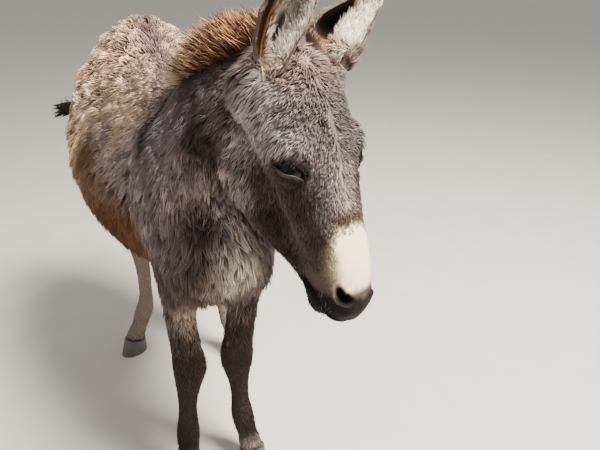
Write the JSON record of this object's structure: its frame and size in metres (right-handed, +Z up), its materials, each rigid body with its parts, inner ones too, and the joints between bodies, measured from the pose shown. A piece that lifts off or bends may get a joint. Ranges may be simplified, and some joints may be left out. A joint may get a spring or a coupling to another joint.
{
  "type": "donkey",
  "caption": "Life-size woolly young donkey standing still, its head lowered and turned to its left, both ears up.",
  "frame": {"origin": "middle of the bounding box at floor level", "axes": "-Y is the way the animal faces, +X is its own left side, +Z is up"},
  "size_m": [0.5954, 1.2466, 1.304],
  "materials": {
    "grey_coat": "long soft hair, grey brown",
    "dark_hair": "coarse dark hair",
    "eye": "wet, near black",
    "hoof_horn": "dry grey horn"
  },
  "bodies": {
    "root": {"head": "grey_coat", "neck": "grey_coat", "trunk": "grey_coat", "foreleg_left": "grey_coat", "foreleg_right": "grey_coat", "hindleg_left": "grey_coat", "hindleg_right": "grey_coat", "ear_left": "grey_coat", "ear_right": "grey_coat", "mane": "dark_hair", "tail": "dark_hair", "eye_left": "eye", "eye_right": "eye", "hoof_fore_left": "hoof_horn", "hoof_fore_right": "hoof_horn", "hoof_hind_left": "hoof_horn", "hoof_hind_right": "hoof_horn"}
  },
  "joints": []
}
